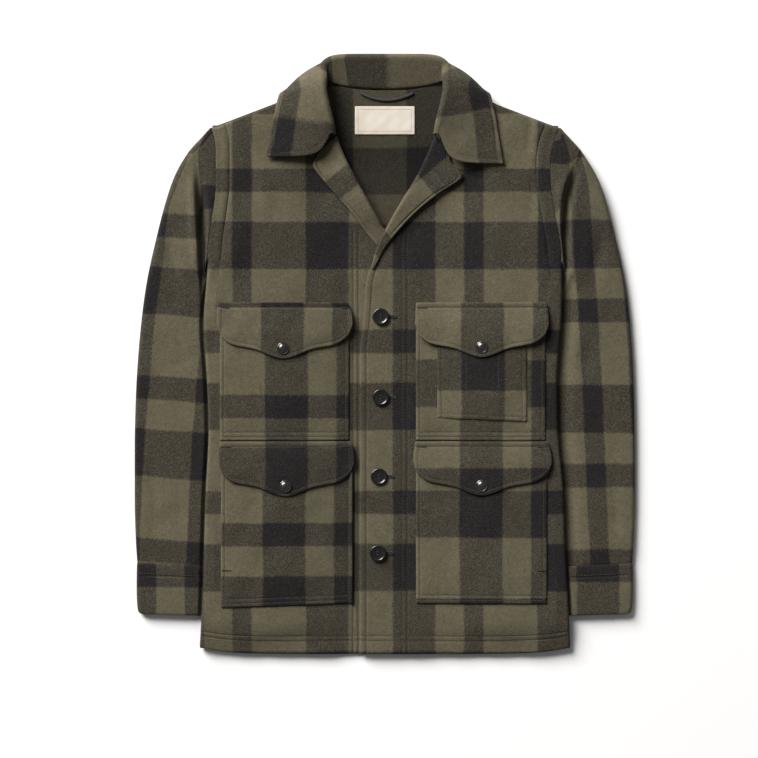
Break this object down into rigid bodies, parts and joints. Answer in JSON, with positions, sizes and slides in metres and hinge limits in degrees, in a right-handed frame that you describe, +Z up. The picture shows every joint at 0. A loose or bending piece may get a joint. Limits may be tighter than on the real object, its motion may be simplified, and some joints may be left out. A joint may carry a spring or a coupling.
{
  "type": "mackinaw jacket",
  "caption": "Wool mackinaw jacket laid flat on its back, buttoned, with turned collar and lapels, four flapped patch pockets, a pencil pocket and cuffed sleeves.",
  "frame": {"origin": "centre of the bounding box on the table that the jacket lies on", "axes": "+X towards the wearer's left side, +Y from the hem towards the collar, +Z up from the table through the front"},
  "size_m": [0.662, 0.7936, 0.0329],
  "materials": {
    "wool": "napped wool plaid in olive and black-olive heather",
    "button": "polished dark horn-like plastic",
    "snap": "dark metal snap cap, satin",
    "label": "plain woven label, bare",
    "tape": "dark woven tape"
  },
  "bodies": {
    "root": {"back": "wool", "front_right": "wool", "front_left": "wool", "lapel_facing_right": "wool", "lapel_facing_left": "wool", "collar": "wool", "sleeve_right": "wool", "sleeve_left": "wool", "cuff_right": "wool", "cuff_left": "wool", "pocket_upper_right": "wool", "pocket_upper_left": "wool", "pocket_lower_right": "wool", "pocket_lower_left": "wool", "pencil_pocket": "wool", "flap_upper_right": "wool", "flap_upper_left": "wool", "flap_lower_right": "wool", "flap_lower_left": "wool", "button_1": "button", "button_2": "button", "button_3": "button", "button_4": "button", "snap_1": "snap", "snap_2": "snap", "snap_3": "snap", "snap_4": "snap", "neck_label": "label", "hanger_loop": "tape"}
  },
  "joints": []
}
